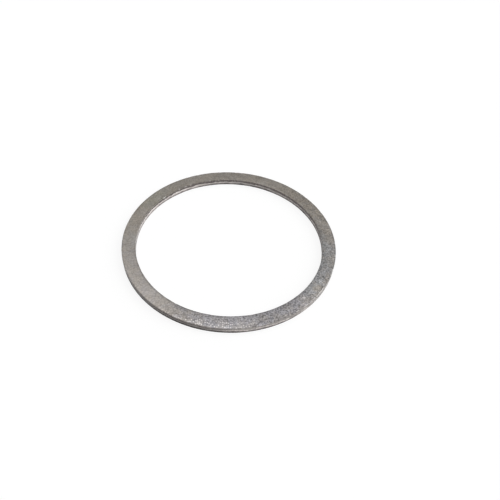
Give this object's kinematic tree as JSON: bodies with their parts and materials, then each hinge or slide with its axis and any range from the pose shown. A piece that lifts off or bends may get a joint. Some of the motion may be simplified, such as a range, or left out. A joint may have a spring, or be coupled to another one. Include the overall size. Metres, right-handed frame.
{
  "type": "fork washer",
  "caption": "Thin flat steel ring for a telescopic fork, with a wide bore, stamped walls and an edge drawn down at the top of both.",
  "frame": {"origin": "centre of the bore at the lower face", "axes": "+Z along the bore, from the lower face towards the face with the drawn-down edges"},
  "size_m": [0.0576, 0.0576, 0.0019],
  "materials": {
    "steel": "dull tumbled steel with a fine grain, smoother where the cut walls were burnished by the die"
  },
  "bodies": {
    "root": {"fork_washer": "steel"}
  },
  "joints": []
}
